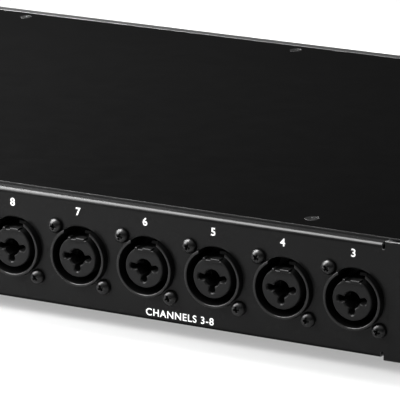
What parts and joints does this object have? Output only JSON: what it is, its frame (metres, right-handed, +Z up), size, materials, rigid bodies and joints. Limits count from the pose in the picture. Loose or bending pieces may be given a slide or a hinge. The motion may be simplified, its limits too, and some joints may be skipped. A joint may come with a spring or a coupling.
{
  "type": "audio interface",
  "caption": "One-unit rack-mount audio interface with combo sockets, output jacks, digital ports and mains inlet behind, and knobs, buttons, meters and headphone jacks in front.",
  "frame": {"origin": "centre of the four rack slots, in the plane of the back of the rack ears", "axes": "+X to the right seen from the front, +Y from the front panel to the rear panel, +Z up"},
  "size_m": [0.4826, 0.279, 0.049],
  "materials": {
    "chassis_paint": "fine satin powder coat",
    "cover_paint": "fine satin powder coat",
    "front_anodised": "brushed, black anodised",
    "black_screw": "black zinc",
    "foot_rubber": "matt",
    "socket_housing": "satin moulded",
    "socket_insert": "matt moulded",
    "contact_gold": "gold plated",
    "black_nut": "moulded",
    "nickel": "satin nickel",
    "white_insulator": "smooth",
    "shutter_grey": "satin",
    "usb_plastic": "smooth",
    "board_green": "solder mask",
    "chip_black": "moulded",
    "board_tan": "bare laminate",
    "transformer_tape": "tape",
    "capacitor_sleeve": "shrink sleeve",
    "bare_aluminium": "extruded",
    "cable_grey": "smooth",
    "smoked_window": "smoked, polished",
    "led_green": "diffusing",
    "knob_black": "satin",
    "button_grey": "satin"
  },
  "bodies": {
    "chassis": {"chassis_frame": "chassis_paint", "top_cover": "cover_paint", "bottom_cover": "cover_paint", "front_subpanel": "chassis_paint", "front_panel": "front_anodised", "cover_screws": "black_screw", "front_panel_screws": "black_screw", "rubber_feet": "foot_rubber", "rear_combo_housings": "socket_housing", "rear_combo_inserts": "socket_insert", "rear_combo_contacts": "contact_gold", "rear_combo_screws": "black_screw", "front_combo_housings": "socket_housing", "front_combo_inserts": "socket_insert", "front_combo_contacts": "contact_gold", "front_combo_screws": "black_screw", "line_output_jacks": "socket_housing", "line_output_nuts": "black_nut", "phones_jacks": "socket_housing", "phones_nuts": "black_nut", "word_clock_shells": "nickel", "word_clock_insulators": "white_insulator", "coaxial_housing": "socket_housing", "coaxial_shells": "contact_gold", "optical_housings": "socket_housing", "usb_shell": "nickel", "usb_tongue": "usb_plastic", "mains_inlet_housing": "socket_housing", "mains_inlet_pins": "nickel", "mains_switch_frame": "socket_housing", "preamp_board": "board_green", "main_board": "board_green", "main_board_chips": "chip_black", "board_standoffs": "nickel", "board_screws": "nickel", "power_supply_board": "board_tan", "power_transformer": "transformer_tape", "power_capacitors": "capacitor_sleeve", "regulator_heatsink": "bare_aluminium", "front_board": "board_green", "ribbon_cable": "cable_grey", "control_bodies": "nickel", "tactile_switches": "chip_black", "meter_window": "smoked_window", "meter_leds": "led_green", "power_switch": "chip_black"},
    "gain_knob": {"gain_knob": "knob_black"},
    "main_knob": {"main_knob": "knob_black"},
    "phones_knob_1": {"phones_knob_1": "knob_black"},
    "phones_knob_2": {"phones_knob_2": "knob_black"},
    "button_phantom": {"button_phantom": "button_grey"},
    "button_pad": {"button_pad": "button_grey"},
    "button_polarity": {"button_polarity": "button_grey"},
    "button_mono": {"button_mono": "button_grey"},
    "button_dim": {"button_dim": "button_grey"},
    "button_mute": {"button_mute": "button_grey"},
    "power_button": {"power_button": "button_grey"},
    "mains_switch_rocker": {"mains_switch_rocker": "black_nut"},
    "optical_door_in": {"optical_door_in": "shutter_grey"},
    "optical_door_out": {"optical_door_out": "shutter_grey"}
  },
  "joints": [
    {"name": "gain_knob_turn", "type": "hinge", "parent": "chassis", "child": "gain_knob", "pos_m": [-0.097, 0, 0], "axis": [0, 1, 0], "range_deg": [-150, 150]},
    {"name": "phones_knob_1_turn", "type": "hinge", "parent": "chassis", "child": "phones_knob_1", "pos_m": [0.153, 0, 0], "axis": [0, 1, 0], "range_deg": [-150, 150]},
    {"name": "phones_knob_2_turn", "type": "hinge", "parent": "chassis", "child": "phones_knob_2", "pos_m": [0.184, 0, 0], "axis": [0, 1, 0], "range_deg": [-150, 150]},
    {"name": "main_knob_turn", "type": "hinge", "parent": "chassis", "child": "main_knob", "pos_m": [0.088, 0, 0], "axis": [0, 1, 0], "range_deg": [-150, 150]},
    {"name": "button_phantom_press", "type": "slide", "parent": "chassis", "child": "button_phantom", "axis": [0, 1, 0], "range_m": [0, 0.0008]},
    {"name": "button_pad_press", "type": "slide", "parent": "chassis", "child": "button_pad", "axis": [0, 1, 0], "range_m": [0, 0.0008]},
    {"name": "button_polarity_press", "type": "slide", "parent": "chassis", "child": "button_polarity", "axis": [0, 1, 0], "range_m": [0, 0.0008]},
    {"name": "button_mono_press", "type": "slide", "parent": "chassis", "child": "button_mono", "axis": [0, 1, 0], "range_m": [0, 0.0008]},
    {"name": "button_dim_press", "type": "slide", "parent": "chassis", "child": "button_dim", "axis": [0, 1, 0], "range_m": [0, 0.0008]},
    {"name": "button_mute_press", "type": "slide", "parent": "chassis", "child": "button_mute", "axis": [0, 1, 0], "range_m": [0, 0.0008]},
    {"name": "power_button_press", "type": "slide", "parent": "chassis", "child": "power_button", "axis": [0, 1, 0], "range_m": [0, 0.002]},
    {"name": "mains_switch_tilt", "type": "hinge", "parent": "chassis", "child": "mains_switch_rocker", "pos_m": [0.17, 0.242, 0], "axis": [1, 0, 0], "range_deg": [-16, 0]},
    {"name": "optical_door_in_hinge", "type": "hinge", "parent": "chassis", "child": "optical_door_in", "pos_m": [0.137, 0.2452, -0.0074], "axis": [1, 0, 0], "range_deg": [-80, 0]},
    {"name": "optical_door_out_hinge", "type": "hinge", "parent": "chassis", "child": "optical_door_out", "pos_m": [0.137, 0.2452, 0.0106], "axis": [1, 0, 0], "range_deg": [-80, 0]}
  ]
}
